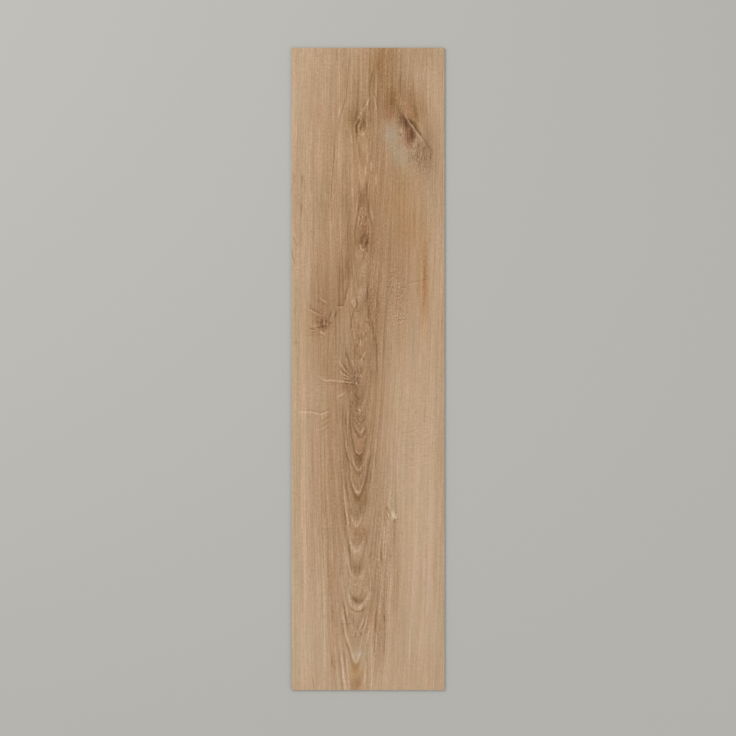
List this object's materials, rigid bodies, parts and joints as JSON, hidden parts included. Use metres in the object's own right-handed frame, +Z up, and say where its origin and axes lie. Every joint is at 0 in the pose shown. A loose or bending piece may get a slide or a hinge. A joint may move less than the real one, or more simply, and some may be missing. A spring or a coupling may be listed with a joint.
{
  "type": "vinyl floor plank",
  "caption": "Square-edged vinyl floor plank with a printed oak-grain face, lying flat, to be laid loose or glued edge to edge on a level floor.",
  "frame": {"origin": "middle of the underside, on the floor that the plank lies on", "axes": "+Z up, out of the printed face; +Y along the plank's length, towards the end that is at the top of the picture; +X across its width, towards the picture's right"},
  "size_m": [0.25, 1.05, 0.0045],
  "materials": {
    "oak_vinyl": "matte"
  },
  "bodies": {
    "root": {"plank": "oak_vinyl"}
  },
  "joints": []
}
